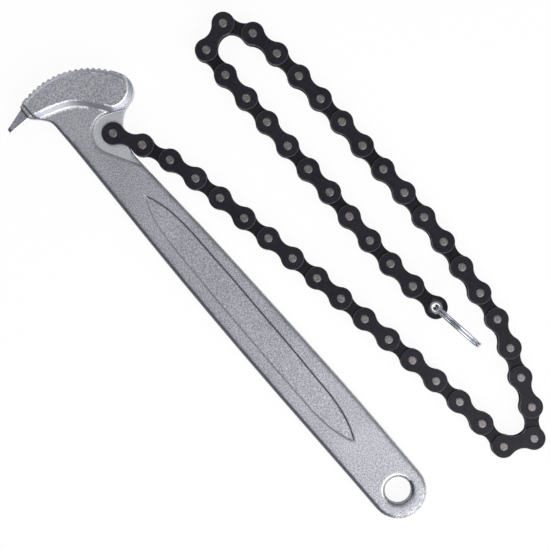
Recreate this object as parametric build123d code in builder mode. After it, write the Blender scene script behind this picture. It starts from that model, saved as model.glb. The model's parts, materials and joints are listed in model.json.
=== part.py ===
from build123d import *

import math
import os

# A chain oil filter wrench, in millimetres.
#
# A forged handle with a toothed head and a hooked claw carries a roller chain on a pin.
# The chain wraps round the filter, and one of its rollers drops behind the claw.
# A split ring hangs from the chain's last bushing.
#
# The frame: the origin is the centre of the hang hole in the forging's middle plane,
# +X runs along the shank towards the head, +Z is up, and the chain lies on the -Y side.

# Chain, half inch pitch by one eighth inch wide
pitch = 12.7
pin_radius = 1.83
pin_length = 9.3
plate_thickness = 1.2
plate_eye_radius = 4.7
plate_waist = 5.3
bushing_wall = 0.62
roller_radius = 3.875
roller_gap_width = 3.3
joint_clearance = 0.08
roller_clearance = 0.1
side_gap = 0.15

# Handle blank, seen from above
hole_to_pin = 184.5
pin_offset = 5.7
eye_end_radius = 11.5
shank_half_width = 12.1
back_edge_shares = [(0.31, 1.0), (0.82, 0.94)]
front_edge_shares = [(0.20, 0.955), (0.44, 0.87), (0.70, 0.735)]
neck_half_width = 6.5
neck_length = 12.5
throat_width = 10.3
ear_radius = 4.8
ear_start = -125.0
ear_end = -92.0
neck_heading = 3.0

# Handle thickness, and its rounded edges
shank_thickness = 8.2
head_thickness = 11.0
claw_thickness = 3.0
collar_thickness = 7.0
edge_radius = 1.5

# Toothed head
tooth_arc_radius = 34.1
tooth_arc_rise = 11.9
head_end_radius = 7.35
head_end_angle = -62.0
head_end_leave = 191.0
tooth_count = 16
tooth_pitch_angle = 4.05
tooth_first_angle = -52.9
tooth_depth = 0.9
tooth_overcut = 0.3
tooth_lean_share = 0.2
pad_end_radius = 7.4
pad_end_angle = -56.2
pad_end_overlap = 0.4
pad_end_leave = 150.0
pad_slope_width = 3.3
pad_line_shares = [(0.27, 0.16), (0.52, 0.29), (0.74, 0.47), (0.88, 0.69)]
pad_claw_inset = (2.9, 0.9)
pad_claw_slope_share = 0.65

# Claw and throat
tooth_arc_end = 13.6
claw_inner = 26.6
claw_reach = 31.7
claw_tip_width = 2.5
claw_step = 0.5
neck_overlap_angle = 6.0
collar_reach = 21.9
throat_reach = 17.1
throat_radius = 9.0
throat_leave = -42.0

# Recess round the anchor pin
recess_radius = 8.5
recess_shank_heading = -150.4
recess_head_heading = -115.0
recess_run = 34.0

# Hang hole
hang_hole_radius = 5.4
hang_rim_radius = 6.3
hang_rim_angle = 84.0

# Shallow panel on each face of the shank
panel_start = 26.3
panel_end = 157.3
panel_centre = 0.75
panel_half_width = 5.3
panel_depth = 0.45
panel_shares = [(0.08, 0.70), (0.22, 0.96), (0.5, 1.0), (0.78, 0.94), (0.92, 0.66)]

# Split ring
ring_outer_radius = 12.5
ring_wire_radius = 0.58
ring_self_gap = 0.45
ring_turns = 2
ring_tilt = 2.5
gap_points_per_turn = 72

# How the chain lies: the heading of each link in degrees, and the slight climb of the last links
link_headings = [
    -152, -159, -166, -169, -170.5, -170, -170, -169.5, -171, -171, -171, -171.5,
    -171.5, -172, -174.5, -177, -115.5, -36, -20.5, -20.5, -16, -7, -5.5, -4.5,
    -2, -1.5, 1.5, 1, 0.5, 2.5, 3, 4, 9.5, 31, 107.5, 177, 181.5, 180.5,
    180.5, 181, 182.5, 178.5, 180, 181, 184.5, 187.5,
]
climbing_links = 7
climb_step = 0.65

# One overrun serves every cut that has to pass right through or out of a side
overrun = 2.0

# Half a turn, in degrees
half_turn = 180

# Sizes worked out from those above
shank_half = shank_thickness / 2
head_half = head_thickness / 2
claw_half = claw_thickness / 2
collar_half = collar_thickness / 2
bushing_bore = pin_radius + joint_clearance
bushing_radius = bushing_bore + bushing_wall
inner_plate_low = roller_gap_width / 2
bushing_half = inner_plate_low + plate_thickness
outer_plate_low = bushing_half + side_gap
web_half = bushing_half
ring_radius = ring_outer_radius - ring_wire_radius
ring_step = 2 * ring_wire_radius + ring_self_gap

anchor = Vector(hole_to_pin, -pin_offset)
arc_centre = Vector(anchor.X, anchor.Y + tooth_arc_rise)


def polar(centre, radius, angle):
    """The point at this radius and angle from a centre."""
    turn = math.radians(angle)
    return centre + Vector(math.cos(turn), math.sin(turn)) * radius


def heading(angle):
    """The unit direction at this angle in plan."""
    return polar(Vector(), 1, angle)


# Plan points of the blank, in order round it from the hang hole's chain side
eye_front = Vector(0, -eye_end_radius)
eye_back = Vector(0, eye_end_radius)
eye_far = Vector(-eye_end_radius, 0)
front_points = [Vector(a * hole_to_pin, -b * shank_half_width) for a, b in front_edge_shares]
neck_start = Vector(hole_to_pin - neck_length, -neck_half_width)
ear_first = polar(anchor, ear_radius, ear_start)
ear_middle = polar(anchor, ear_radius, (ear_start + ear_end) / 2)
ear_last = polar(anchor, ear_radius, ear_end)
head_end = polar(arc_centre, tooth_arc_radius - head_end_radius, head_end_angle)
head_leave = polar(head_end, head_end_radius, head_end_leave)
head_low = polar(head_end, head_end_radius, (head_end_leave + head_end_angle) / 2 + half_turn)
tooth_start = polar(arc_centre, tooth_arc_radius, head_end_angle)
tooth_middle = polar(arc_centre, tooth_arc_radius, (head_end_angle + tooth_arc_end) / 2)
tooth_end = polar(arc_centre, tooth_arc_radius, tooth_arc_end)
claw_x = anchor.X + claw_inner
claw_y = anchor.Y + claw_reach
throat_centre = Vector(anchor.X + throat_reach, throat_width + throat_radius)
throat_low = polar(throat_centre, throat_radius, -90)
throat_middle = polar(throat_centre, throat_radius, (throat_leave - 90) / 2)
throat_top = polar(throat_centre, throat_radius, throat_leave)
back_points = [Vector(a * hole_to_pin, b * shank_half_width) for a, b in back_edge_shares]

# Plan points of the recess and of the panel
shank_touch = polar(anchor, recess_radius, recess_shank_heading - 90)
head_touch = polar(anchor, recess_radius, recess_head_heading + 90)
shank_mouth = shank_touch + heading(recess_shank_heading) * recess_run
head_mouth = head_touch + heading(recess_head_heading) * recess_run
panel_tips = [Vector(panel_start, panel_centre), Vector(panel_end, panel_centre)]
panel_length = panel_end - panel_start


def panel_edge(side):
    """The points of one long edge of the panel, between its two tips."""
    return [
        Vector(panel_start + a * panel_length, panel_centre + side * b * panel_half_width)
        for a, b in panel_shares
    ]


# Points buried where the shank and the head run into each other
neck_radius = TangentArc(head_leave, ear_last, tangent=-heading(head_end_leave + 90)).radius
neck_centre = polar(head_end, head_end_radius + neck_radius, head_end_leave)
ear_turn = math.degrees(math.atan2(ear_last.Y - neck_centre.Y, ear_last.X - neck_centre.X))
neck_inside = polar(neck_centre, neck_radius, ear_turn + neck_overlap_angle)
neck_middle = polar(neck_centre, neck_radius, (ear_turn + head_end_leave - half_turn) / 2)
head_inside = ear_last + Vector(ear_radius, ear_radius)
root_inside = throat_top + Vector(claw_tip_width, 0)

# Plan points of the collar and the claw
collar_y = anchor.Y + collar_reach
claw_slope = (claw_x + claw_tip_width - tooth_end.X) / (claw_y - tooth_end.Y)
collar_outer = Vector(tooth_end.X + claw_slope * (collar_y - tooth_end.Y), collar_y)
collar_inner = Vector(claw_x, collar_y)
claw_outer = collar_outer - Vector(claw_step, 0)
claw_low = Vector(claw_x, throat_top.Y)
claw_tip_outer = Vector(claw_x + claw_tip_width, claw_y)
claw_tip_inner = Vector(claw_x, claw_y)

# Plan points of the raised pad on the head, whose edge is a slope from its top to its foot
pad_end = polar(arc_centre, tooth_arc_radius - pad_end_radius + pad_end_overlap, pad_end_angle)
pad_leave = polar(pad_end, pad_end_radius, pad_end_leave)
pad_claw = throat_top + Vector(*pad_claw_inset)
pad_run = pad_claw - pad_leave
pad_line = [pad_leave + Vector(a * pad_run.X, b * pad_run.Y) for a, b in pad_line_shares]


def shank_side(slope):
    """The outline of all that lies outside the pad, with the pad's edge moved out by the slope."""
    leave = polar(pad_end, pad_end_radius + slope, pad_end_leave)
    low = polar(pad_end, pad_end_radius + slope, pad_end_leave + 90)
    way_out = polar(pad_end, pad_end_radius + slope, pad_end_angle)
    claw_end = pad_claw - Vector(slope * pad_claw_slope_share, 0)
    beyond = claw_end + Vector(0, overrun)
    far_x = -eye_end_radius - overrun
    far_y = way_out.Y - 2 * overrun
    with BuildSketch(mode=Mode.PRIVATE) as outside:
        with BuildLine():
            ThreePointArc(way_out, low, leave)
            Spline(leave, *[p - Vector(slope, 0) for p in pad_line], claw_end)
            Polyline(
                claw_end,
                beyond,
                Vector(far_x, beyond.Y),
                Vector(far_x, far_y),
                Vector(way_out.X, far_y),
                way_out,
            )
        make_face()
    return outside.sketch


with BuildPart() as head_block:
    # The head at its full thickness, reaching back into the shank behind the anchor pin
    with BuildSketch():
        with BuildLine():
            ThreePointArc(neck_inside, neck_middle, head_leave)
            ThreePointArc(head_leave, head_low, tooth_start)
            ThreePointArc(tooth_start, tooth_middle, tooth_end)
            Polyline(tooth_end, pad_claw, throat_top, anchor, neck_inside)
        make_face()
    extrude(amount=head_half, both=True)

    # Cut down outside the raised pad, whose edge slopes
    for side in (1, -1):
        with BuildSketch(Plane.XY.offset(side * shank_half)):
            add(shank_side(pad_slope_width))
        with BuildSketch(Plane.XY.offset(side * (head_half + overrun))):
            add(shank_side(-pad_slope_width * overrun / (head_half - shank_half)))
        loft(ruled=True, mode=Mode.SUBTRACT)

with BuildPart() as handle:
    # The shank with its rounded edges, running on into the head
    with BuildSketch():
        with BuildLine():
            Spline(eye_front, *front_points, neck_start, tangents=[(1, 0), heading(neck_heading)])
            TangentArc(ear_first, neck_start, tangent=-heading(ear_start + 90))
            ThreePointArc(ear_first, ear_middle, ear_last)
            Polyline(ear_last, head_inside, root_inside, throat_top)
            ThreePointArc(throat_top, throat_middle, throat_low)
            Spline(throat_low, *reversed(back_points), eye_back, tangents=[(-1, 0), (-1, 0)])
            ThreePointArc(eye_back, eye_far, eye_front)
        make_face()
    extrude(amount=shank_half, both=True)
    rims = handle.faces().filter_by(Axis.Z).edges()
    fillet(rims - rims.filter_by(GeomType.LINE), edge_radius)
    add(head_block)

    # The collar and the claw beyond the head, each thinner than the last
    with BuildSketch():
        with BuildLine():
            Polyline(tooth_end, collar_outer, collar_inner, throat_top, anchor, tooth_end)
        make_face()
    extrude(amount=collar_half, both=True)
    with BuildSketch():
        with BuildLine():
            Polyline(tooth_end, claw_outer, claw_tip_outer, claw_tip_inner, claw_low, anchor, tooth_end)
        make_face()
    extrude(amount=claw_half, both=True)

    # The recess on each face where the first link swings, down to the web that its plates straddle
    for side in (1, -1):
        with BuildSketch(Plane.XY.offset(side * web_half)):
            with Locations(anchor):
                Circle(recess_radius)
            with BuildLine():
                Polyline(anchor, shank_touch, shank_mouth, head_mouth, head_touch, anchor)
            make_face()
        extrude(amount=side * (head_half + overrun), mode=Mode.SUBTRACT)

    # The shallow panel on each face of the shank
    for side in (1, -1):
        with BuildSketch(Plane.XY.offset(side * (shank_half - panel_depth))):
            with BuildLine():
                for edge in (1, -1):
                    Spline(panel_tips[0], *panel_edge(edge), panel_tips[1])
            make_face()
        extrude(amount=side * (panel_depth + overrun), mode=Mode.SUBTRACT)

    # The anchor pin's bore, and the hang hole with its bevelled rims
    with Locations(anchor):
        Hole(bushing_bore)
    with Locations((0, 0, shank_half)):
        CounterSinkHole(hang_hole_radius, hang_rim_radius, counter_sink_angle=hang_rim_angle)
    with Locations(Location((0, 0, -shank_half), (half_turn, 0, 0))):
        CounterSinkHole(hang_hole_radius, hang_rim_radius, counter_sink_angle=hang_rim_angle)

    # The teeth, cut straight through the head's thickness
    with BuildSketch(Plane.XY.offset(-head_half - overrun)):
        for tooth in range(tooth_count):
            angle = tooth_first_angle + tooth * tooth_pitch_angle
            lean = tooth_pitch_angle * tooth_lean_share
            with BuildLine():
                Polyline(
                    polar(arc_centre, tooth_arc_radius + tooth_overcut, angle - tooth_pitch_angle / 2),
                    polar(arc_centre, tooth_arc_radius - tooth_depth, angle + lean),
                    polar(arc_centre, tooth_arc_radius + tooth_overcut, angle + tooth_pitch_angle / 2),
                    close=True,
                )
            make_face()
    extrude(amount=head_thickness + 2 * overrun, mode=Mode.SUBTRACT)


def plate_outline(hole_radius):
    """The waisted outline of a link plate, with its two holes a pitch apart."""
    waist_rise = plate_waist / 2
    waist_radius = ((pitch / 2) ** 2 + waist_rise**2 - plate_eye_radius**2) / (
        2 * (plate_eye_radius - waist_rise)
    )
    waist_height = waist_rise + waist_radius
    touch_height = plate_eye_radius * waist_height / (plate_eye_radius + waist_radius)
    with BuildSketch(mode=Mode.PRIVATE) as outline:
        with Locations((pitch / 2, 0)):
            Rectangle(pitch, 2 * touch_height)
        with Locations((0, 0), (pitch, 0)):
            Circle(plate_eye_radius)
        with Locations((pitch / 2, waist_height), (pitch / 2, -waist_height)):
            Circle(waist_radius, mode=Mode.SUBTRACT)
        with Locations((0, 0), (pitch, 0)):
            Circle(hole_radius, mode=Mode.SUBTRACT)
    return outline.sketch


turned_over = Location((0, 0, 0), (1, 0, 0), half_turn)

# The pieces of a link, each made once about its first pin, with the second pin along +X
with BuildPart() as outer_plate:
    with BuildSketch(Plane.XY.offset(outer_plate_low)):
        add(plate_outline(pin_radius))
    extrude(amount=plate_thickness)

with BuildPart() as inner_plate:
    with BuildSketch(Plane.XY.offset(inner_plate_low)):
        add(plate_outline(bushing_radius))
    extrude(amount=plate_thickness)

with BuildPart() as pin:
    Cylinder(pin_radius, pin_length)

with BuildPart() as bushing:
    Cylinder(bushing_radius, 2 * bushing_half)
    Cylinder(bushing_bore, 2 * bushing_half, mode=Mode.SUBTRACT)

with BuildPart() as roller:
    Cylinder(roller_radius, roller_gap_width - 2 * roller_clearance)
    Cylinder(bushing_radius + roller_clearance, roller_gap_width, mode=Mode.SUBTRACT)

# The split ring, one wire wound about the Y axis in half turns, its ends at the far side
with BuildPart() as split_ring:
    with BuildLine() as wire_path:
        for half in range(2 * ring_turns):
            side = 1 if half % 2 == 0 else -1
            start = Vector(side * ring_radius, (half - ring_turns) * ring_step / 2)
            end = Vector(-side * ring_radius, (half + 1 - ring_turns) * ring_step / 2)
            top = (start + end) / 2 + Vector(0, 0, side * (end - start).length / 2)
            ThreePointArc(start, top, end)
    wire = wire_path.wires()[0]
    with BuildSketch(Plane(origin=wire @ 0, z_dir=wire % 0)):
        Circle(ring_wire_radius)
    sweep(path=wire)


def least_gap(path, turns, radius, points_per_turn):
    """The least clear distance between one turn of a wound wire and another, on points."""
    count = turns * points_per_turn
    points = [path @ (step / count) for step in range(count + 1)]
    nearest = min(
        (points[j] - points[i]).length
        for i in range(count + 1)
        for j in range(i + points_per_turn // 2, count + 1)
    )
    return nearest - 2 * radius


def link_planes():
    """Each link's plane: origin on its first pin's axis, X to its second pin, Z along the pins."""
    planes = []
    spot = anchor
    for number, angle in enumerate(link_headings, start=1):
        climb = climb_step * max(0, number + climbing_links - len(link_headings))
        rise = math.radians(climb)
        along = heading(angle) * math.cos(rise) + Vector(0, 0, math.sin(rise))
        side = heading(angle + 90)
        planes.append(Plane(origin=spot, x_dir=along, z_dir=along.cross(side)))
        spot = spot + along * pitch
    return planes, spot


def save(name, *pieces):
    """Write one node: a single piece, or a group of separate ones."""
    if len(pieces) == 1:
        node = pieces[0]
    else:
        node = Compound(children=list(pieces))
    node.label = name
    export_step(node, f"parts/{name}.step")


planes, chain_end = link_planes()
second_pin = Location((pitch, 0, 0))
os.makedirs("parts", exist_ok=True)
save("handle", handle.part)

for number, plane in enumerate(planes, start=1):
    seat = plane.location
    far_seat = seat * second_pin
    if number % 2:
        link_plates = [outer_plate.part.moved(seat), outer_plate.part.moved(seat * turned_over)]
        pins = [pin.part.moved(seat), pin.part.moved(far_seat)]
    else:
        link_plates = [inner_plate.part.moved(seat), inner_plate.part.moved(seat * turned_over)]
        bushings = [bushing.part.moved(seat), bushing.part.moved(far_seat)]
        rollers = [roller.part.moved(seat), roller.part.moved(far_seat)]
    if number == 1:
        save("anchor_plate_upper", link_plates[0])
        save("anchor_plate_lower", link_plates[1])
        save("anchor_pin", pins[0])
        save("anchor_link_pin", pins[1])
    elif number == len(planes):
        save("end_plate_upper", link_plates[0])
        save("end_plate_lower", link_plates[1])
        save("end_bushing", bushings[0])
        save("ring_bushing", bushings[1])
        save("end_roller", rollers[0])
        save("ring_roller", rollers[1])
    elif number % 2:
        save(f"outer_link_{number:02d}", *link_plates, *pins)
    else:
        save(f"inner_link_{number:02d}", *link_plates, *bushings, *rollers)

# The ring stands ahead of the last bushing, leaning back to reach the floor, tipped a little sideways
bore_bow = ring_radius - math.sqrt(ring_radius**2 - bushing_half**2)
ring_reach = ring_radius - bore_bow / 2
ring_lean = math.asin((ring_outer_radius - head_half - chain_end.Z) / ring_reach)
ring_ahead = heading(link_headings[-1])
ring_away = ring_ahead * math.cos(ring_lean) + Vector(0, 0, math.sin(ring_lean))
ring_centre = chain_end + ring_away * ring_reach
ring_level = heading(link_headings[-1] + 90)
ring_up = ring_away.cross(ring_level)
ring_turn = math.radians(ring_tilt)
ring_side = ring_level * math.cos(ring_turn) + ring_up * math.sin(ring_turn)
ring_plane = Plane(origin=ring_centre, x_dir=ring_away, z_dir=ring_away.cross(ring_side))
save("split_ring", split_ring.part.moved(ring_plane.location))

swept_volume = wire.length * math.pi * ring_wire_radius**2
print("ring: volume", round(split_ring.part.volume, 2), "section times length", round(swept_volume, 2))
print("ring: least gap", round(least_gap(wire, ring_turns, ring_wire_radius, gap_points_per_turn), 3))
print("last bushing", chain_end, "ring lean", round(math.degrees(ring_lean), 2))
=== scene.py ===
# %% [markdown]
# # A chain oil filter wrench
# The tool is a forged handle with a toothed head and a thin hooked claw, and a roller chain
# that is pinned to the head and ends in a split ring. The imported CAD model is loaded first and
# stays where it is. Every piece made here is set by the hinges of that model, so the looks and
# the mechanism share one frame, in metres.

import json
import math

import bpy
import numpy as np
from mathutils import Matrix, Vector
from mathutils.kdtree import KDTree


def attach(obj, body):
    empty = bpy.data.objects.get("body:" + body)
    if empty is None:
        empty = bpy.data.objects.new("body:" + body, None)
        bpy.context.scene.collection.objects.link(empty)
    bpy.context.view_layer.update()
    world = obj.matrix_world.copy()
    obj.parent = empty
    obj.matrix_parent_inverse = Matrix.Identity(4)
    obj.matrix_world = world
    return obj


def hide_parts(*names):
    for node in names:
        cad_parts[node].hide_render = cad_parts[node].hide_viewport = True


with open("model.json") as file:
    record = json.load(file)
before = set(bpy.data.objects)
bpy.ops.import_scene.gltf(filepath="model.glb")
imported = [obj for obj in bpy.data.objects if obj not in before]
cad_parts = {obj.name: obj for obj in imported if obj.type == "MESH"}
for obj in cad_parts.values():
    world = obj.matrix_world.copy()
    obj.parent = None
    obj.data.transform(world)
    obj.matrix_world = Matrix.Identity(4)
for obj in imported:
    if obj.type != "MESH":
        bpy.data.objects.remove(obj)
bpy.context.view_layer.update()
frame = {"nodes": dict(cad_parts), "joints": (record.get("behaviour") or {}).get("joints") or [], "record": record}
nodes = frame["nodes"]

# %% [markdown]
# ## Where the links lie
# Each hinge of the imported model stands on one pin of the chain. The first hinge is the anchor
# pin and the last is the bushing that the ring goes through, so the hinges alone give every
# link's place: it runs from its own hinge to the next, and its upward direction is the pin's.

# %% Link frames from the hinges
mm = 0.001
hinge_points = np.array([joint["pos_m"] for joint in frame["joints"]])
hinge_axes = np.array([joint["axis"] for joint in frame["joints"]])
hinge_axes *= np.sign(hinge_axes[:, 2:])
link_count = len(hinge_points) - 1
link_along = np.diff(hinge_points, axis=0)
pitch = float(np.linalg.norm(link_along[0]))
link_along /= np.linalg.norm(link_along, axis=1)[:, None]
print("links", link_count, "pitch mm", round(pitch / mm, 3))


def link_matrix(index):
    """A link's frame as a 4 by 4 array: X to its second pin, Z along the pins, Y across."""
    x = link_along[index]
    odd_pin = index if index % 2 == 0 else index + 1
    z = hinge_axes[min(odd_pin, link_count - 1)] if index < link_count - 1 else hinge_axes[-1]
    y = np.cross(z, x)
    y /= np.linalg.norm(y)
    z = np.cross(x, y)
    placed = np.eye(4)
    placed[:3, 0] = x
    placed[:3, 1] = y
    placed[:3, 2] = z
    placed[:3, 3] = hinge_points[index]
    return placed


def moved(points, matrix):
    """Points carried by a 4 by 4 array: each is turned by its 3 by 3 part, then shifted."""
    return points @ matrix[:3, :3].T + matrix[:3, 3]


# %% [markdown]
# ## From arrays to meshes
# Nearly every piece here is a grid of points: one direction runs along a path, the other round
# a section. One helper turns such a grid into a mesh, closing it round either direction and
# filling its open ends with one face each. Several grids can share one mesh, which keeps the
# plates of a link together as one piece.

# %% Mesh helpers
def grid_faces(rows, columns, wrap_rows, wrap_columns, start=0):
    """The corner numbers of the quads between neighbouring rows and columns of a grid."""
    r = np.arange(rows if wrap_rows else rows - 1)
    c = np.arange(columns if wrap_columns else columns - 1)
    r, c = np.meshgrid(r, c, indexing="ij")
    r_next = (r + 1) % rows
    c_next = (c + 1) % columns
    corners = [(r, c), (r, c_next), (r_next, c_next), (r_next, c)]
    quads = np.stack([row * columns + column for row, column in corners], -1)
    return quads.reshape(-1, 4) + start


def piece(name, parts, material, body, cad_nodes, smooth_angle=35.0):
    """A mesh from point grids. Each part is (points[rows, columns, 3], wrap_rows, capped)."""
    corners = []
    faces = []
    start = 0
    for points, wrap_rows, capped in parts:
        rows, columns = points.shape[:2]
        corners.append(points.reshape(-1, 3))
        faces += grid_faces(rows, columns, wrap_rows, True, start).tolist()
        if capped:
            faces.append(list(range(start + columns - 1, start - 1, -1)))
            faces.append(list(range(start + (rows - 1) * columns, start + rows * columns)))
        start += rows * columns
    mesh = bpy.data.meshes.new(name)
    mesh.from_pydata(np.concatenate(corners).tolist(), [], faces)
    mesh.update()
    mesh.validate()
    mesh.shade_smooth()
    mesh.set_sharp_from_angle(angle=math.radians(smooth_angle))
    mesh.materials.append(material)
    made = bpy.data.objects.new(name, mesh)
    bpy.context.scene.collection.objects.link(made)
    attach(made, body)
    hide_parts(*cad_nodes)
    return made


def turned(profile, segments):
    """A surface of revolution about Z: every (radius, height) of the profile, at every angle."""
    profile = np.array(profile)
    angles = np.linspace(0, 2 * math.pi, segments, endpoint=False)
    x = profile[:, :1] * np.cos(angles)
    y = profile[:, :1] * np.sin(angles)
    z = np.repeat(profile[:, 1:], segments, axis=1)
    return np.stack([x, y, z], -1)


# %% [markdown]
# ## Wiring materials
# A material in Blender is a tree of small nodes whose sockets are joined. Adding and joining
# them takes several lines each, so the steps that come back in every finish get short names
# here: one step of arithmetic, a smooth band, a mix of two colours, a noise.

# %% Short ways to wire nodes
class Wiring:
    """Short ways to add nodes to the tree of a material or a group, and to join them."""

    def __init__(self, tree):
        self.tree = tree
        self.add = tree.nodes.new

    def feed(self, socket, source):
        """Joins another node's output to a socket, or sets the socket to a number or a colour."""
        if isinstance(source, bpy.types.NodeSocket):
            self.tree.links.new(source, socket)
        elif isinstance(source, tuple):
            socket.default_value = (*source, 1.0)
        else:
            socket.default_value = source

    def maths(self, operation, *sources):
        """One step of arithmetic on one or two sources."""
        node = self.add("ShaderNodeMath")
        node.operation = operation
        for source, socket in zip(sources, node.inputs):
            self.feed(socket, source)
        return node.outputs[0]

    def product(self, first, *others):
        """All the sources multiplied together."""
        for other in others:
            first = self.maths("MULTIPLY", first, other)
        return first

    def band(self, source, limits, kind="SMOOTHSTEP"):
        """0 up to the first limit and 1 from the second, with 3 t^2 - 2 t^3 or a line between."""
        node = self.add("ShaderNodeMapRange")
        node.interpolation_type = kind
        self.feed(node.inputs["From Min"], limits[0])
        self.feed(node.inputs["From Max"], limits[1])
        self.feed(node.inputs["Value"], source)
        return node.outputs["Result"]

    def mix(self, share, first, second):
        """The first colour where the share is 0, the second where it is 1."""
        node = self.add("ShaderNodeMix")
        node.data_type = "RGBA"
        self.feed(node.inputs["Factor"], share)
        self.feed(node.inputs[6], first)
        self.feed(node.inputs[7], second)
        return node.outputs[2]

    def ramp(self, value, low, high):
        """The colour that a value from 0 to 1 picks on the way from one colour to another."""
        node = self.add("ShaderNodeValToRGB")
        for stop, colour in zip(node.color_ramp.elements, (low, high)):
            stop.color = (*colour, 1.0)
        self.feed(node.inputs["Fac"], value)
        return node.outputs["Color"]

    def here(self, vector):
        """Where a point lies in the object, named Object, or the surface's own Normal."""
        return self.add("ShaderNodeTexCoord").outputs[vector]

    def noise(self, scale, detail, roughness=0.5):
        """A noise from 0 to 1 that is fixed to the object."""
        node = self.add("ShaderNodeTexNoise")
        self.feed(node.inputs["Scale"], scale)
        self.feed(node.inputs["Detail"], detail)
        self.feed(node.inputs["Roughness"], roughness)
        self.feed(node.inputs["Vector"], self.here("Object"))
        return node.outputs["Fac"]

    def parts(self, vector):
        """The X, Y and Z of the point's place or of the surface's normal."""
        node = self.add("ShaderNodeSeparateXYZ")
        self.feed(node.inputs["Vector"], self.here(vector))
        return list(node.outputs)


# %% [markdown]
# ## Finishes
# The forging is steel that was blasted, so it is covered in tiny bright and dark specks. The
# plates are blackened and paler along their rounded edges, partly rubbed and partly painted
# highlight, and the inner plates are a darker copy whose extra darkness is painted shade from the
# outer plates. The pins' ends are bare and grainy, and the ring is plated with bright zinc. All of
# them need some fine grain, so the grain is a node group: it gives a value for colour and a height
# for bump, and each material sets its own scale. The pale edges are a group too: there the surface
# neither lies flat nor stands, and the normal says so, which is simpler than finding the edges in
# the mesh.

# %% The shared grain and the rounded edges
grain_limits = (0.33, 0.67)


def new_group(name, entries, exits):
    """A node group with these number inputs and outputs: the group, its wiring and its two ends."""
    group = bpy.data.node_groups.new(name, "ShaderNodeTree")
    for title, value in entries.items():
        socket = group.interface.new_socket(title, in_out="INPUT", socket_type="NodeSocketFloat")
        socket.default_value = value
    for title in exits:
        group.interface.new_socket(title, in_out="OUTPUT", socket_type="NodeSocketFloat")
    wire = Wiring(group)
    return group, wire, wire.add("NodeGroupInput").outputs, wire.add("NodeGroupOutput").inputs


def grain_group():
    """Two noises, one fine and one coarse, mixed to a speckle from 0 to 1 and a height."""
    entries = {"Speck scale": 900.0, "Cloud scale": 60.0, "Cloud share": 0.3}
    group, wire, entry, leave = new_group("steel_grain", entries, ["Speckle", "Height"])
    fine = wire.noise(entry["Speck scale"], detail=3.0, roughness=0.65)
    coarse = wire.noise(entry["Cloud scale"], detail=2.0)
    mixed = wire.add("ShaderNodeMix")
    wire.feed(mixed.inputs["Factor"], entry["Cloud share"])
    wire.feed(mixed.inputs[2], fine)
    wire.feed(mixed.inputs[3], coarse)
    wire.feed(leave["Speckle"], wire.band(mixed.outputs[0], grain_limits, kind="LINEAR"))
    wire.feed(leave["Height"], fine)
    return group


def edge_group():
    """How upright the normal is, as two smooth steps multiplied: 0 on flats and walls, 1 between."""
    entries = {"Flat": 0.98, "Off flat": 0.88, "Wall": 0.1, "Off wall": 0.35}
    group, wire, entry, leave = new_group("rounded_edges", entries, ["Rounded"])
    upright = wire.maths("ABSOLUTE", wire.parts("Normal")[2])
    off_flat = wire.band(upright, (entry["Flat"], entry["Off flat"]))
    off_wall = wire.band(upright, (entry["Wall"], entry["Off wall"]))
    wire.feed(leave["Rounded"], wire.product(off_flat, off_wall))
    return group


steel_grain = grain_group()
rounded_edges = edge_group()


# %% A finish on a Principled shader
class Paint(Wiring):
    """The wiring of a new material that ends in its Principled shader."""

    def __init__(self, name):
        self.made = bpy.data.materials.new(name)
        self.made.use_nodes = True
        super().__init__(self.made.node_tree)
        self.shader = self.tree.nodes["Principled BSDF"]

    def grain(self, speck_scale, cloud_share):
        """The shared grain's speckle and height, at this scale and with this share of clouds."""
        node = self.add("ShaderNodeGroup")
        node.node_tree = steel_grain
        self.feed(node.inputs["Speck scale"], speck_scale)
        self.feed(node.inputs["Cloud share"], cloud_share)
        return node.outputs["Speckle"], node.outputs["Height"]

    def rounded(self):
        """The mask of the edges that are rounded off."""
        node = self.add("ShaderNodeGroup")
        node.node_tree = rounded_edges
        return node.outputs["Rounded"]

    def finish(self, colour, metallic, roughness, height, depth, strength=1.0):
        """Wires the shader to a colour, two numbers or masks, and bumps of this height and depth."""
        bump = self.add("ShaderNodeBump")
        self.feed(bump.inputs["Height"], height)
        self.feed(bump.inputs["Distance"], depth)
        self.feed(bump.inputs["Strength"], strength)
        self.feed(self.shader.inputs["Normal"], bump.outputs["Normal"])
        self.feed(self.shader.inputs["Base Color"], colour)
        self.feed(self.shader.inputs["Metallic"], metallic)
        self.feed(self.shader.inputs["Roughness"], roughness)
        return self.made


def grained(name, dark, light, metallic, roughness, scale, clouds, depth, shine=0.5, edge=None):
    """A colour that runs from dark to light with the grain, and an edge's colour where it is given."""
    paint = Paint(name)
    speckle, height = paint.grain(scale, clouds)
    colour = paint.ramp(speckle, dark, light)
    # The edge's colour is partly rubbing and partly a painted highlight
    if edge:
        colour = paint.mix(paint.rounded(), colour, edge)
    paint.feed(paint.shader.inputs["Specular IOR Level"], shine)
    return paint.finish(colour, metallic, roughness, height, depth)


# %% [markdown]
# ## The forging's steel
# The flat faces are blasted, so they are covered in fine low specks with a few bright nicks.
# Where the die's slopes and rounded corners turn away, handling has rubbed the steel smoother.
# That follows the shape, so each look is a mask that reads the surface's own direction and
# place: the web, the slopes, the walls, the claw and the hole's bore each get theirs. Some looks
# are painted light: painted shade where the surface faces away from the lamps and in the hole's
# bore, and a painted highlight on the claw's inner side. The bright lines along some edges are
# partly rubbed steel and partly painted highlight. They can't be read from a point alone, so
# they come as a named number on each point, which is made with the skin below. A little noise
# frays the masks' borders.
# The looks are laid over each other one by one, and a later one covers those before it.

# %% The blasted steel
blasted_dark = (0.155, 0.156, 0.175)
blasted_light = (0.50, 0.503, 0.54)
web_colour = (0.53, 0.53, 0.555)
slope_colour = (0.35, 0.36, 0.40)
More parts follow.
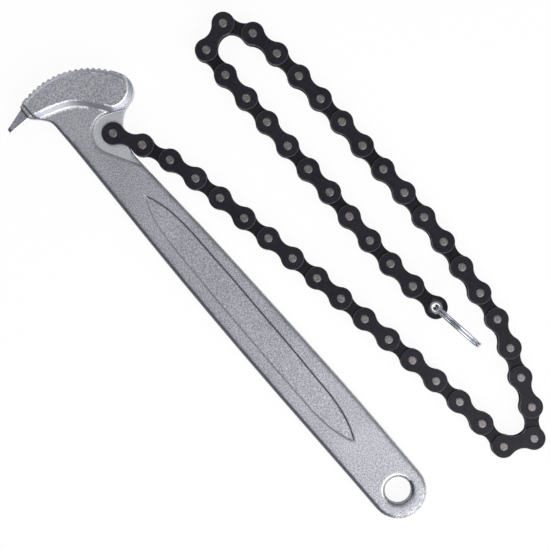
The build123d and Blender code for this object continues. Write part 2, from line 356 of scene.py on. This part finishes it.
# Rubbed steel for the nicks, and along the bright lines also a painted highlight
rubbed_and_highlight_colour = (0.76, 0.76, 0.78)
wall_dark = (0.36, 0.365, 0.38)
wall_light = (0.88, 0.89, 0.92)
# A dark colour, also used as painted shade on the side away from the lamps and in the hole's bore
dark_and_shade_colour = (0.09, 0.095, 0.13)
# A painted highlight on the claw's inner side, which faces the lower lamp
claw_side_highlight = (0.95, 0.95, 0.97)

# How upright the normal is: where a slope starts and is full, then a wall and the claw's face
slope_limits = (0.975, 0.90)
wall_limits = (0.80, 0.35)
face_limits = (0.5, 0.9)
# Heights from the middle plane, then places along X and Y and from the hole's middle
pad_limits = (4.0 * mm, 4.3 * mm)
web_lower_limits = (2.6 * mm, 2.8 * mm)
web_upper_limits = (3.2 * mm, 3.0 * mm)
throat_x_limits = (201 * mm, 204 * mm)
throat_y_limits = (9 * mm, 12 * mm)
claw_limits = (15.8 * mm, 16.6 * mm)
tip_limits = (24.3 * mm, 25.0 * mm)
bore_reach = 6.2 * mm
# How far the normal leans to the side that the lamps leave dark, where shade is painted, and
# to the claw's inner side, where a highlight is painted
shaded_side_limits = (0.12, 0.5)
claw_highlight_limits = (-0.1, -0.4)
# The nicks, and the noise that shifts the masks
nick_scale = 700.0
nick_limits = (0.70, 0.80)
fray_scale = 1500.0
fray_depth = 0.10
bright_line_fray = 16.0
bright_line_limits = (0.35, 0.65)


def forging_material():
    """Speckled steel under a list of looks, each a mask and the colour that it lays on."""
    paint = Paint("blasted_steel")
    maths, product, band = paint.maths, paint.product, paint.band
    x, y, z = paint.parts("Object")
    facing_x, facing_y, facing_z = paint.parts("Normal")
    speckle, height = paint.grain(speck_scale=1700.0, cloud_share=0.12)
    fray = product(maths("SUBTRACT", paint.noise(fray_scale, detail=2.0), 0.5), fray_depth)
    upright = maths("ADD", maths("ABSOLUTE", facing_z), fray)
    level = maths("ABSOLUTE", z)
    from_hole = maths("SQRT", maths("ADD", product(x, x), product(y, y)))

    steep = band(upright, wall_limits)
    on_pad = band(level, pad_limits)
    on_web = product(band(level, web_lower_limits), band(level, web_upper_limits))
    at_throat = product(band(x, throat_x_limits), band(y, throat_y_limits))
    on_claw = band(y, claw_limits)
    in_bore = maths("LESS_THAN", from_hole, bore_reach)
    sloped = product(band(upright, slope_limits), maths("ADD", product(on_pad, 0.6), 0.4))
    polished = maths("MAXIMUM", sloped, product(steep, at_throat))
    # The bright lines' number on each point: partly rubbed steel and partly painted highlight
    attribute = paint.add("ShaderNodeAttribute")
    attribute.attribute_name = "rubbed_and_highlit"
    rubbed_and_highlit = band(maths("ADD", attribute.outputs["Fac"], product(fray, bright_line_fray)), bright_line_limits)
    # Where the painted shade is weaker: on the pad and along the bright lines
    off_pad = maths("SUBTRACT", 1.0, product(on_pad, 0.8))
    off_bright_lines = maths("SUBTRACT", 0.8, product(rubbed_and_highlit, 0.8))

    # Each look is the share of it that a point gets, from 0 to 1, and its colour
    colour = paint.ramp(speckle, blasted_dark, blasted_light)
    for share, look in (
        (band(paint.noise(nick_scale, detail=4.0), nick_limits), rubbed_and_highlight_colour),
        (product(on_web, 0.55), web_colour),
        (polished, slope_colour),
        # partly rubbed steel and partly painted highlight along the bright lines
        (rubbed_and_highlit, rubbed_and_highlight_colour),
        (steep, paint.ramp(speckle, wall_dark, wall_light)),
        # painted shade: darker where the surface faces away from the lamps
        (product(band(facing_y, shaded_side_limits), off_pad, off_bright_lines), dark_and_shade_colour),
        (product(on_claw, band(upright, face_limits), 0.4), dark_and_shade_colour),
        (product(band(y, tip_limits), 0.95), dark_and_shade_colour),
        # a painted highlight on the claw's inner side
        (product(on_claw, band(facing_x, claw_highlight_limits)), claw_side_highlight),
        # painted shade in the hole's bore
        (product(in_bore, steep, 0.9), dark_and_shade_colour),
    ):
        colour = paint.mix(share, colour, look)
    smooth = maths("MAXIMUM", polished, rubbed_and_highlit)
    metallic = maths("SUBTRACT", 0.8, product(polished, 0.2))
    roughness = maths("SUBTRACT", 0.5, product(polished, 0.12))
    strength = maths("SUBTRACT", 1.0, product(smooth, 0.7))
    return paint.finish(colour, metallic, roughness, height, 0.05 * mm, strength)


# %% The finishes of all the pieces
forged_steel = forging_material()
# The plates' paler edges are partly rubbed oxide and partly painted highlight
black_plate = grained("black_oxide", (0.0095, 0.009, 0.013), (0.021, 0.020, 0.027), metallic=0.0,
                      roughness=0.32, scale=500.0, clouds=0.5, depth=0.01 * mm, shine=0.10,
                      edge=(0.07, 0.07, 0.08))
# The inner plates: a darker copy of the blackened steel, painted shade from the outer plates over them
inner_black_shaded = grained("inner_black_oxide_shaded", (0.006, 0.0055, 0.008), (0.016, 0.0155, 0.020),
                      metallic=0.0, roughness=0.32, scale=500.0, clouds=0.5, depth=0.01 * mm,
                      shine=0.10, edge=(0.05, 0.05, 0.06))
pin_steel = grained("pin_end_steel", (0.085, 0.078, 0.08), (0.22, 0.205, 0.21), metallic=0.85,
                    roughness=0.42, scale=1500.0, clouds=0.2, depth=0.05 * mm)
roller_steel = grained("roller_steel", (0.05, 0.05, 0.06), (0.12, 0.12, 0.13), metallic=0.8,
                       roughness=0.35, scale=600.0, clouds=0.4, depth=0.02 * mm)
bushing_steel = grained("bushing_steel", (0.15, 0.155, 0.17), (0.31, 0.32, 0.345), metallic=0.95,
                        roughness=0.35, scale=900.0, clouds=0.3, depth=0.03 * mm)
zinc = grained("bright_zinc", (0.40, 0.43, 0.48), (0.66, 0.69, 0.74), metallic=1.0,
               roughness=0.22, scale=120.0, clouds=0.8, depth=0.004 * mm)
print("materials", len(bpy.data.materials), "shared groups", len(bpy.data.node_groups))

# %% [markdown]
# ## The forging
# A forging has no sharp corner: the die rounds every edge, and blasting and use round it more.
# The CAD node has the right outline, pad, recess, teeth and holes, but its edges are crisper. A
# bevel could round them, but the steps after it also need points spread evenly over the faces.
# So the node's surface is copied, remeshed as a fine even skin and relaxed, which does both: each
# edge is rounded by about the skin's own spacing. Then the skin's points are read as arrays.

# %% The skin's points
shank_half = 4.1 * mm
head_half = 5.5 * mm
anchor_x, anchor_y = hinge_points[0, :2]
tooth_arc_rise = 11.9 * mm


class Skin:
    """A mesh's points as arrays: their places, how upright their normals are, and their marks."""

    def __init__(self, shape):
        count = len(shape.vertices)
        points = np.empty(count * 3)
        normals = np.empty(count * 3)
        shape.vertices.foreach_get("co", points)
        shape.vertex_normals.foreach_get("vector", normals)
        self.points = points.reshape(-1, 3)
        self.x = self.points[:, 0]
        self.y = self.points[:, 1]
        self.level = np.abs(self.points[:, 2])
        self.upright = np.abs(normals.reshape(-1, 3)[:, 2])
        self.from_hole = np.hypot(self.x, self.y)
        self.from_anchor = np.hypot(self.x - anchor_x, self.y - anchor_y)
        self.from_arc = np.hypot(self.x - anchor_x, self.y - anchor_y - tooth_arc_rise)
        self.sunk = np.zeros(count)
        self.rubbed_and_highlit = np.zeros(count)

    def store(self, shape):
        """Moves the mesh's points towards the middle plane by what they are sunk, and adds the bright lines'
        number.
        """
        self.points[:, 2] -= np.sign(self.points[:, 2]) * self.sunk
        shape.vertices.foreach_set("co", self.points.reshape(-1))
        shape.attributes.new("rubbed_and_highlit", "FLOAT", "POINT").data.foreach_set("value", self.rubbed_and_highlit)
        shape.update()


# %% Distances and shares
def plan_distance(points, targets):
    """How far each point lies in plan from the nearest of the targets."""
    tree = KDTree(len(targets))
    for index, (x, y) in enumerate(targets[:, :2]):
        tree.insert((x, y, 0), index)
    tree.balance()
    return np.array([tree.find((x, y, 0))[2] for x, y in points[:, :2]])


def ramped(values, low, high):
    """A smooth step of the values: 0 at low, 1 at high, 3 t^2 - 2 t^3 between."""
    t = np.clip((values - low) / (high - low), 0, 1)
    return t * t * (3 - 2 * t)


def faded(distance, width):
    """1 at no distance, falling evenly to 0 at this width."""
    return np.clip(1 - distance / width, 0, 1)


# %% [markdown]
# ## Eased edges
# Blasting takes most off the faces near an edge. So each face is sunk a little there, by an
# amount that follows from how far a point lies in plan from the edge: along the shank's outline,
# over the teeth, at the recess's rim and along the claw's side. The shank's easing fades out
# before the head, and sooner on the side of the anchor, where the pad's slope starts first.

# %% The shank's faces
outline_upright = 0.3
face_low = 2.0 * mm
face_slack = 0.05 * mm
outline_hole_gap = 8 * mm
outline_anchor_gap = 6 * mm
outline_end = 203 * mm
face_end = 201 * mm
edge_ease_depth = 0.5 * mm
edge_ease_width = 3.4 * mm
fade_starts = (190 * mm, 170 * mm)
fade_length = 8 * mm


def shank_outline(skin):
    """The points on the shank's standing walls, without those round the hole and the anchor."""
    walls = (skin.upright < outline_upright) & (skin.level < face_low) & (skin.x < outline_end)
    return walls & (skin.from_hole > outline_hole_gap) & (skin.from_anchor > outline_anchor_gap)


def shank_face(skin):
    """The points on the shank's two faces."""
    return (skin.level > face_low) & (skin.level < shank_half + face_slack) & (skin.x < face_end)


def ease_shank(skin):
    """Sunk by the square of the nearness to the outline, times a smooth step that fades it out."""
    face = shank_face(skin)
    fade_start = np.where(skin.y > 0, *fade_starts)
    fade = 1 - ramped(skin.x, fade_start, fade_start + fade_length)
    near = plan_distance(skin.points[face], skin.points[shank_outline(skin)])
    skin.sunk[face] = edge_ease_depth * faded(near, edge_ease_width) ** 2 * fade[face]


# %% The teeth
pad_slack = 0.25 * mm
tooth_ease_start = 32.1 * mm
tooth_ease_width = 1.1 * mm
tooth_ease_depth = 0.4 * mm


def ease_teeth(skin):
    """Sunk by a smooth step of the distance from the middle of the arc that the teeth follow."""
    over_teeth = (skin.level > head_half - pad_slack) & (skin.from_arc > tooth_ease_start)
    share = ramped(skin.from_arc[over_teeth], tooth_ease_start, tooth_ease_start + tooth_ease_width)
    skin.sunk[over_teeth] = tooth_ease_depth * share


# %% The recess's rim and the claw's side
pad_drop = 0.2 * mm
rim_upright = 0.2
rim_low = 3.2 * mm
rim_reaches = (13 * mm, 26 * mm)
beside_low = 3.6 * mm
beside_upright = 0.7
beside_reach = 28 * mm
rim_ease_depth = 0.38 * mm
rim_ease_width = 0.9 * mm
claw_reach_in = 26.6 * mm
claw_slack = 0.3 * mm
claw_low = 1.0 * mm
claw_start_x = 208 * mm
claw_start_y = 14.5 * mm


def ease_rims(skin):
    """Sunk evenly less with the distance from the recess's walls and from the claw's side."""
    rim = (skin.upright < rim_upright) & (skin.level > rim_low) & (skin.level < head_half - pad_drop)
    rim &= skin.from_anchor < np.where(skin.x > anchor_x, *rim_reaches)
    beside = (skin.level > beside_low) & (skin.upright > beside_upright)
    beside &= skin.from_anchor < beside_reach
    near = plan_distance(skin.points[beside], skin.points[rim])
    eased = rim_ease_depth * faded(near, rim_ease_width)
    skin.sunk[beside] = np.maximum(skin.sunk[beside], eased)
    from_side = skin.x - anchor_x - claw_reach_in
    claw = (from_side > -claw_slack) & (skin.level > claw_low)
    claw &= (skin.x > claw_start_x) & (skin.y > claw_start_y)
    skin.sunk[claw] = rim_ease_depth * faded(from_side[claw], rim_ease_width)


# %% [markdown]
# ## Bright lines
# Bright lines run along the foot and the top of the pad's slope, round the hole's rim on the
# shank's side, and on the eye's end. They are partly steel that hands and filters rub bright and
# partly painted highlight. Each point there gets a number from 0 to 1 that falls with the
# distance from the edge, and the material turns it into a frayed line.

# %% The slope's foot and top
slope_uprights = (0.86, 0.965)
foot_drop = 0.6 * mm
foot_rise = 0.25 * mm
foot_reach = 2.1 * mm
top_reach = 1.2 * mm
line_upright = 0.9
line_start = 185 * mm


def mark_slope_lines(skin):
    """A bright line, rubbing and painted highlight, fading evenly with the distance from the slope, on the face
    below it and on the pad.
    """
    slope = (skin.upright > slope_uprights[0]) & (skin.upright < slope_uprights[1])
    slope &= (skin.level > shank_half + pad_drop) & (skin.level < head_half - pad_drop)
    foot = (skin.level > shank_half - foot_drop) & (skin.level < shank_half + foot_rise)
    top = skin.level > head_half - pad_slack
    for part, reach in ((foot, foot_reach), (top, top_reach)):
        part &= (skin.upright > line_upright) & (skin.x > line_start)
        near = plan_distance(skin.points[part], skin.points[slope])
        skin.rubbed_and_highlit[part] = faded(near, reach)


# %% The hole's rim
hole_low = 2.9 * mm
hole_ease_radius = 7.2 * mm
hole_ease_width = 1.8 * mm
hole_ease_depth = 0.35 * mm
hole_line_gain = 2.5
hole_line_turn = 0.5


def ease_hole(skin):
    """Sunk evenly more towards the hole; where the rim faces the shank, a bright line likewise, rubbing and
    painted highlight.
    """
    rim = (skin.level > hole_low) & (skin.from_hole < hole_ease_radius)
    share = np.clip((hole_ease_radius - skin.from_hole[rim]) / hole_ease_width, 0, 1)
    skin.sunk[rim] += hole_ease_depth * share
    towards_shank = ramped(skin.x[rim] / skin.from_hole[rim], -hole_line_turn, hole_line_turn)
    skin.rubbed_and_highlit[rim] = np.clip(hole_line_gain * share, 0, 1) * towards_shank


# %% The eye's end
eye_fade = (2 * mm, 8 * mm)
eye_line_start = 0.8
eye_line_width = 3.0 * mm
eye_line_cap = 0.52


def mark_eye_line(skin):
    """A bright line, rubbing and painted highlight, fading evenly with the distance from the outline, up to a cap,
    past the hole's middle.
    """
    end = shank_face(skin) & (skin.x < 0)
    near = plan_distance(skin.points[end], skin.points[shank_outline(skin)])
    line_share = np.clip(eye_line_start - near / eye_line_width, 0, eye_line_cap)
    skin.rubbed_and_highlit[end] = np.maximum(skin.rubbed_and_highlit[end], ramped(-skin.x[end], *eye_fade) * line_share)


# %% [markdown]
# ## The skin put together
# The modifiers are turned into plain mesh before the points are marked, so that the marks stay
# on the points they were worked out for. The skin is then thinned towards half its triangles, but
# only where no bright line is marked, because the bright lines need their points close together.

# %% The forging's skin
skin_spacing = 0.3 * mm
kept_share = 0.5


def applied(made):
    """Turns an object's modifiers into its mesh, and gives the mesh."""
    bpy.context.view_layer.update()
    graph = bpy.context.evaluated_depsgraph_get()
    shape = bpy.data.meshes.new_from_object(made.evaluated_get(graph))
    made.modifiers.clear()
    made.data = shape
    return shape


def remeshed(made):
    """The object's mesh welded, filled with small cubes whose surface is kept, and relaxed."""
    weld = made.modifiers.new("weld", "WELD")
    weld.merge_threshold = 0.001 * mm
    skin = made.modifiers.new("skin", "REMESH")
    skin.mode = "VOXEL"
    skin.voxel_size = skin_spacing
    skin.use_smooth_shade = True
    relax = made.modifiers.new("relax", "SMOOTH")
    relax.factor = 0.5
    relax.iterations = 2
    return applied(made)


def thinned(made, spared):
    """The object's mesh with fewer triangles, all but at the spared points."""
    kept = made.vertex_groups.new(name="kept")
    for index in spared.tolist():
        kept.add([index], 1.0, "REPLACE")
    thin = made.modifiers.new("thin", "DECIMATE")
    thin.ratio = kept_share
    thin.vertex_group = "kept"
    thin.invert_vertex_group = True
    thin.vertex_group_factor = 1.0
    shape = applied(made)
    made.vertex_groups.clear()
    return shape


def forging_skin():
    """The CAD handle as an even skin: remeshed, relaxed, eased, marked with bright lines, then thinned."""
    made = bpy.data.objects.new("forging", nodes["handle"].data.copy())
    bpy.context.scene.collection.objects.link(made)
    shape = remeshed(made)
    skin = Skin(shape)
    for step in (ease_shank, ease_teeth, ease_rims, mark_slope_lines, ease_hole, mark_eye_line):
        step(skin)
    skin.store(shape)
    print("worn points", int((skin.rubbed_and_highlit > 0.4).sum()), "of", len(skin.rubbed_and_highlit))
    print("deepest easing mm", round(skin.sunk.max() / mm, 3))
    shape = thinned(made, np.flatnonzero(skin.rubbed_and_highlit > 0))
    shape.materials.clear()
    shape.materials.append(forged_steel)
    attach(made, "handle")
    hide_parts("handle")
    return made


forging = forging_skin()
print("forging triangles", sum(len(face.vertices) - 2 for face in forging.data.polygons))

# %% [markdown]
# ## A link plate
# Each plate is stamped from strip: two round eyes joined by a waist, with edges that the press
# has rounded. Its outline is four arcs, and the section is carried along it. The section gives,
# for each row, how far in from the outline it lies and how high it is.

# %% The plate's outline and section
eye_radius = 4.7 * mm
waist_half = 2.65 * mm
plate_thickness = 1.2 * mm
inner_plate_low = 1.65 * mm
outer_plate_low = 3.0 * mm
edge_rounding = 0.34 * mm
waist_radius = ((pitch / 2) ** 2 + waist_half**2 - eye_radius**2) / (2 * (eye_radius - waist_half))
waist_height = waist_half + waist_radius


def plate_outline(eye_points=23, waist_points=9):
    """Points and outward directions round the plate: an eye's arc, a waist's arc, and again."""
    lean = math.atan2(waist_height, pitch / 2)
    eye = np.linspace(lean - math.pi, math.pi - lean, eye_points)
    waist = np.linspace(-lean, lean - math.pi, waist_points + 2)[1:-1]
    right = np.stack([np.cos(eye), np.sin(eye)], 1)
    upper = np.stack([np.cos(waist), np.sin(waist)], 1)
    points = [right * eye_radius + [pitch, 0], upper * waist_radius + [pitch / 2, waist_height]]
    directions = [right, -upper]
    points += [-half + [pitch, 0] for half in points]
    directions += [-half for half in directions]
    return np.concatenate(points), np.concatenate(directions)


def plate_section(thickness, rounding, steps=3):
    """Rows of (inset, height): down one rounded edge and on down the other, from top to bottom."""
    turn = np.linspace(0, math.pi / 2, steps + 1)
    inset = rounding * (1 - np.sin(turn))
    drop = rounding * (1 - np.cos(turn))
    top = np.stack([inset, thickness - drop], 1)
    bottom = np.stack([inset[::-1], drop[::-1]], 1)
    flat = np.array([[2 * rounding, thickness]])
    under = np.array([[2 * rounding, 0.0]])
    return np.concatenate([flat, top, bottom, under])


def plate(low, flip):
    """The section carried round the outline, its lower face at this height, or its mirror below."""
    points, directions = plate_outline()
    section = plate_section(plate_thickness, edge_rounding)
    flat = points[None] - directions[None] * section[:, 0][:, None, None]
    height = np.repeat(section[:, 1][:, None], len(points), axis=1) + low
    grid = np.concatenate([flat, height[..., None]], -1)[::-1]
    if flip:
        grid = (grid * [1, 1, -1])[::-1]
    return grid


# %% [markdown]
# ## Pins, rollers and the links
# A pin's end is riveted, so it is a flat disc with a rounded shoulder that stands a little
# above the plate. A roller is a short tube. Both are profiles turned about the pin's axis.
# Outer links carry the pins and inner links the rollers, and they take turns down the chain.

# %% Pins and rollers
pin_radius = 1.83 * mm
pin_half = 4.65 * mm
# The pin's end from its middle outward: shares of the radius, and how far below its top
pin_end_shares = (0.35, 0.72, 0.82, 0.94, 1.0)
pin_end_drops = (0.05 * mm, 0.02 * mm, 0.06 * mm, 0.18 * mm, 0.34 * mm)
roller_radius = 3.875 * mm
roller_half = 1.55 * mm
roller_rounding = 0.2 * mm
bushing_radius = 2.53 * mm
bushing_half = 2.85 * mm
bushing_bore = 1.91 * mm
bushing_rounding = 0.12 * mm


def pin_profile():
    """(radius, height) from the bottom end to the top: a dished end, a shoulder and the shank."""
    end = [(share * pin_radius, pin_half - drop)
           for share, drop in zip(pin_end_shares, pin_end_drops)]
    return [(r, -z) for r, z in end] + end[::-1]


def tube_profile(outer, inner, half, rounding):
    """A tube's closed section as (radius, height), with its outer and inner edges rounded."""
    near = rounding * (1 - math.sin(math.pi / 4))
    side = [(outer - rounding, half), (outer - near, half - near), (outer, half - rounding)]
    bore = [(inner, half - rounding), (inner + near, half - near), (inner + rounding, half)]
    return [(r, -z) for r, z in side] + side[::-1] + bore[::-1] + [(r, -z) for r, z in bore]


pin_grid = turned(pin_profile(), segments=32)
roller_profile = tube_profile(roller_radius, bushing_radius, roller_half, roller_rounding)
roller_grid = turned(roller_profile, segments=40)
bushing_profile = tube_profile(bushing_radius, bushing_bore, bushing_half, bushing_rounding)
bushing_grid = turned(bushing_profile, segments=32)
next_pin = np.array([pitch, 0, 0])

# %% The links
plates = {True: (plate(outer_plate_low, False), plate(outer_plate_low, True)),
          False: (plate(inner_plate_low, False), plate(inner_plate_low, True))}
for index in range(link_count - 1):
    number = index + 1
    outer = index % 2 == 0
    place = link_matrix(index)
    body = f"link_{number:02d}"
    members = frame["record"]["behaviour"]["bodies"][body]
    plate_nodes = [node for node in members if "pin" not in node]
    round_nodes = [node for node in members if "pin" in node] or members
    piece(f"plates_{number:02d}", [(moved(grid, place), False, True) for grid in plates[outer]],
          black_plate if outer else inner_black_shaded, body, plate_nodes)
    if outer:
        rounds = [(moved(grid, place), False, True) for grid in (pin_grid, pin_grid + next_pin)]
        piece(f"pins_{number:02d}", rounds, pin_steel, body, round_nodes)
    else:
        rounds = [(moved(grid, place), True, False) for grid in (roller_grid, roller_grid + next_pin)]
        piece(f"rollers_{number:02d}", rounds, roller_steel, body, round_nodes)
print("links made", link_count - 1)

# %% [markdown]
# ## The last link
# The chain's last bushing has no pin: the ring goes through it, and its bright end shows. So
# the last link's plates need a real hole there, which is cut with a Boolean modifier.

# %% The last link and its open bushing
last = link_matrix(link_count - 1)
last_body = f"link_{link_count:02d}"
for side, grid in zip(("upper", "lower"), plates[False]):
    made = piece(f"end_plate_{side}_looks", [(moved(grid, last), False, True)],
                 inner_black_shaded, last_body, [f"end_plate_{side}"])
    bpy.ops.mesh.primitive_cylinder_add(vertices=40, radius=bushing_radius, depth=20 * mm)
    drill = bpy.context.object
    drill.matrix_world = Matrix(last.tolist()) @ Matrix.Translation((pitch, 0, 0))
    cut = made.modifiers.new("hole", "BOOLEAN")
    cut.object = drill
    cut.solver = "EXACT"
    applied(made)
    bpy.data.objects.remove(drill)
for kind, grid, finish in (("bushing", bushing_grid, bushing_steel),
                           ("roller", roller_grid, roller_steel)):
    for name, placed in ((f"end_{kind}", grid), (f"ring_{kind}", grid + next_pin)):
        piece(name + "_looks", [(moved(placed, last), True, False)],
              finish, last_body, [name])
print("corners of a drilled plate", len(made.data.vertices))

# %% [markdown]
# ## The split ring
# A split ring is one wire wound twice. Each turn lies flat, and a short kink carries the wire
# from one turn over to the other, so the two cut ends show on opposite faces near the kink.
# The wire is a tube: a circle carried along that path, with the tube's sides worked out from
# the path's direction.

# %% The ring's wire
ring_radius = 11.6 * mm
wire_radius = 0.63 * mm
turn_step = 1.30 * mm
ring_tilt = math.radians(2.5)
kink_width = 0.16
floor_height = -head_half


def ring_path(samples=361):
    """Two turns at a fixed radius; the side offset steps from one turn to the other at the kink."""
    share = np.linspace(0, 1, samples)
    angle = 4 * math.pi * share
    across = np.clip((share - 0.5) / kink_width + 0.5, 0, 1)
    offset = turn_step * (across**2 * (3 - 2 * across) - 0.5)
    return np.stack([ring_radius * np.cos(angle), offset, ring_radius * np.sin(angle)], 1)


def tube(path, radius, sides=16):
    """
    A circle carried along a path: the radius times (out cos a + side sin a) about every point,
    where out points away from the ring's axis and side is square to it and to the path.
    """
    along = np.gradient(path, axis=0)
    along /= np.linalg.norm(along, axis=1)[:, None]
    out = path * [1, 0, 1]
    out -= along * np.sum(out * along, axis=1)[:, None]
    out /= np.linalg.norm(out, axis=1)[:, None]
    side = np.cross(along, out)
    angle = np.linspace(0, 2 * math.pi, sides, endpoint=False)
    ring = out[:, None] * np.cos(angle)[None, :, None] + side[:, None] * np.sin(angle)[None, :, None]
    return path[:, None] + ring * radius


def ring_matrix():
    """
    The ring's frame: X runs from the last bushing to the ring's middle and rises by the angle
    that stands the ring on the floor, and Y is the ring's axis, tipped a little from level.
    """
    ahead = link_along[-1] * [1, 1, 0]
    ahead /= np.linalg.norm(ahead)
    bow = ring_radius - math.sqrt(ring_radius**2 - bushing_half**2)
    reach = ring_radius - bow / 2
    centre_height = floor_height + ring_radius + wire_radius
    lean = math.asin((centre_height - hinge_points[-1, 2]) / reach)
    away = ahead * math.cos(lean) + np.array([0, 0, math.sin(lean)])
    sideways = np.cross([0, 0, 1.0], ahead)
    across = sideways * math.cos(ring_tilt) + np.cross(away, sideways) * math.sin(ring_tilt)
    placed = np.eye(4)
    placed[:3, 0] = away
    placed[:3, 1] = across
    placed[:3, 2] = np.cross(away, across)
    placed[:3, 3] = hinge_points[-1] + away * reach
    print("ring lean degrees", round(math.degrees(lean), 2))
    return placed


ring_grid = moved(tube(ring_path(), wire_radius), ring_matrix())
piece("ring_wire", [(ring_grid, False, True)], zinc, "ring", ["split_ring"])

# %% [markdown]
# ## Stage, light and camera
# The photograph looks straight down at the tool on white. The floor is a plane under the head's
# pad. To the camera and to mirrors it is nearly all a white of its own, and the small share that
# the lamps light keeps the tool's soft shadow. Two large lamps, one low at the picture's lower
# right and one at its upper left, brighten the edges and slopes that face them. A weak lamp makes
# the steel paler towards the eye, one above fills in, and the room is dark to the lower left.

# %% The floor
glow_share = 0.93


def floor_material():
    """A mostly self-lit white to the eye and in reflections, and a plain diffuse white to the light."""
    made = bpy.data.materials.new("white_floor")
    made.use_nodes = True
    made.node_tree.nodes.clear()
    wire = Wiring(made.node_tree)
    paths = wire.add("ShaderNodeLightPath").outputs
    seen = wire.maths("MAXIMUM", paths["Is Camera Ray"], paths["Is Glossy Ray"])
    lit = wire.add("ShaderNodeBsdfDiffuse")
    wire.feed(lit.inputs["Color"], (0.9, 0.9, 0.9))
    glow = wire.add("ShaderNodeEmission")
    wire.feed(glow.inputs["Strength"], 1.0)
    both = wire.add("ShaderNodeMixShader")
    wire.feed(both.inputs["Fac"], wire.product(seen, glow_share))
    wire.feed(both.inputs[1], lit.outputs[0])
    wire.feed(both.inputs[2], glow.outputs[0])
    wire.feed(wire.add("ShaderNodeOutputMaterial").inputs["Surface"], both.outputs[0])
    return made


bpy.ops.mesh.primitive_plane_add(size=6.0, location=(0.1, 0, floor_height))
floor = bpy.context.object
floor.name = "floor"
floor.data.materials.append(floor_material())

# %% The camera
# The picture's middle in the tool's frame, and its sideways and upward directions there
picture_middle = Vector((98.55 * mm, -18.45 * mm, 0))
picture_right = Vector((-0.648, -0.7616, 0)).normalized()
picture_up = Vector((0.7616, -0.648, 0)).normalized()
camera_height = 773 * mm
picture_width = 223.2 * mm
sensor_width = 36.0
camera_data = bpy.data.cameras.new("camera")
camera_data.sensor_width = sensor_width
camera_data.lens = sensor_width * camera_height / picture_width
camera_data.clip_start = 10 * mm
camera = bpy.data.objects.new("camera", camera_data)
bpy.context.scene.collection.objects.link(camera)
turn = Matrix((picture_right, picture_up, picture_right.cross(picture_up))).transposed()
camera.matrix_world = Matrix.Translation(picture_middle + Vector((0, 0, camera_height))) @ turn.to_4x4()
bpy.context.scene.camera = camera
print("lens mm", round(camera_data.lens, 1))


# %% The lamps
def lamp(name, right, up, height, size, power):
    """A square area lamp placed by the picture's own directions, aimed at the tool's middle."""
    data = bpy.data.lights.new(name, "AREA")
    data.size = size
    data.energy = power
    made = bpy.data.objects.new(name, data)
    bpy.context.scene.collection.objects.link(made)
    spot = picture_middle + picture_right * right + picture_up * up + Vector((0, 0, height))
    aim = (spot - picture_middle).to_track_quat("Z", "Y").to_matrix().to_4x4()
    made.matrix_world = Matrix.Translation(spot) @ aim


lamp("lower_right", right=0.34, up=-0.40, height=0.50, size=0.85, power=4.2)
lamp("upper_left", right=-0.55, up=0.55, height=0.75, size=0.6, power=3.3)
lamp("near_eye", right=0.12, up=-0.22, height=0.35, size=0.3, power=0.62)
lamp("top", right=0.1, up=0.2, height=1.4, size=0.9, power=1.2)
print("lamps", len(bpy.data.lights))


# %% The room
room_light = 0.34
room_dark = 0.10
dark_limits = (0.15, 0.75)


def room():
    """A pale room that is dark towards the picture's lower left, as a dark studio wall there is."""
    made = bpy.data.worlds.new("pale_room")
    made.use_nodes = True
    add = made.node_tree.nodes.new
    link = made.node_tree.links.new
    place = add("ShaderNodeTexCoord")
    toward = add("ShaderNodeVectorMath")
    toward.operation = "DOT_PRODUCT"
    toward.inputs[1].default_value = (-picture_right - picture_up).normalized()
    link(place.outputs["Generated"], toward.inputs[0])
    shade = add("ShaderNodeMapRange")
    shade.interpolation_type = "SMOOTHSTEP"
    shade.inputs["From Min"].default_value = dark_limits[0]
    shade.inputs["From Max"].default_value = dark_limits[1]
    shade.inputs["To Min"].default_value = room_light
    shade.inputs["To Max"].default_value = room_dark
    link(toward.outputs["Value"], shade.inputs["Value"])
    background = made.node_tree.nodes["Background"]
    background.inputs["Color"].default_value = (0.93, 0.95, 1.0, 1)
    link(shade.outputs["Result"], background.inputs["Strength"])
    return made


bpy.context.scene.world = room()
bpy.context.scene.view_settings.view_transform = "Standard"
